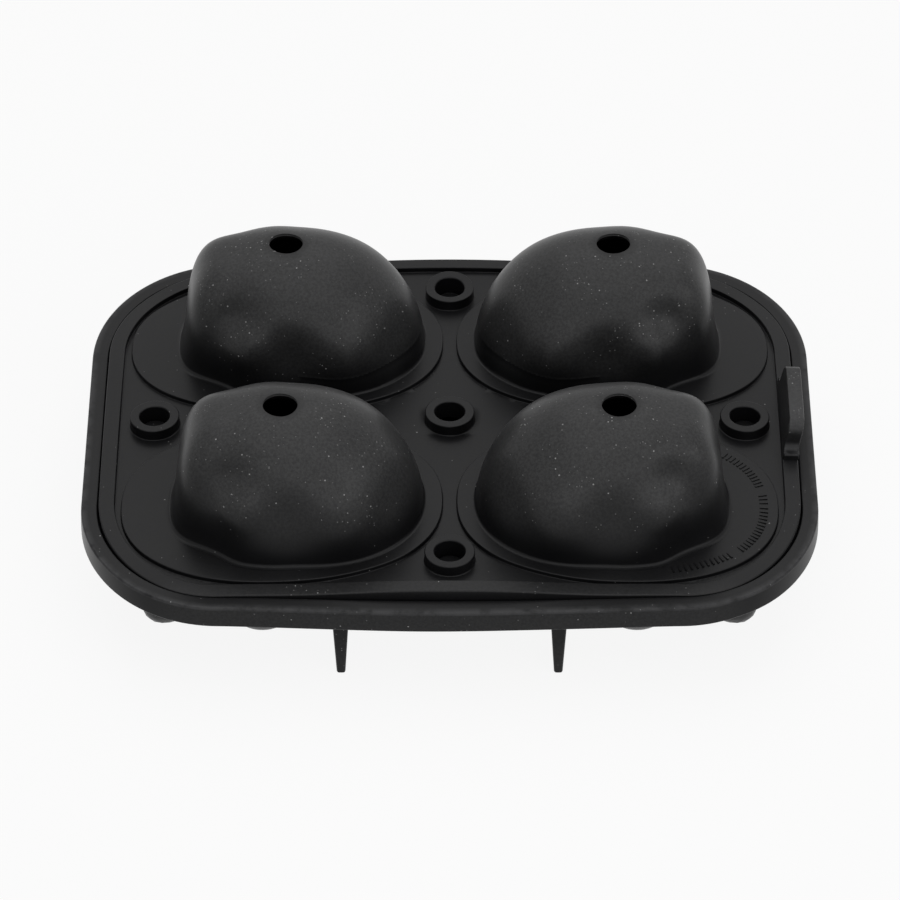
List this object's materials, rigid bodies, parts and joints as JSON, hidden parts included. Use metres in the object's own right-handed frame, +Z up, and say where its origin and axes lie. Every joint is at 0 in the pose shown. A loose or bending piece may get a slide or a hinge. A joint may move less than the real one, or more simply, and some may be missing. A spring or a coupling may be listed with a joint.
{
  "type": "ice mold",
  "caption": "Silicone ice mould: a ribbed tray of skull face cups and a nesting lid of domed halves with fill holes, locating bosses and a pull tab.",
  "frame": {"origin": "middle of the underside, on the surface that the ribs stand on", "axes": "+X to the right and along the long side, +Y to the back, +Z up through the domes"},
  "size_m": [0.1816, 0.1388, 0.0626],
  "materials": {
    "tray_silicone": "matte black silicone",
    "lid_silicone": "matte black silicone"
  },
  "bodies": {
    "root": {"tray": "tray_silicone", "lid": "lid_silicone"}
  },
  "joints": []
}
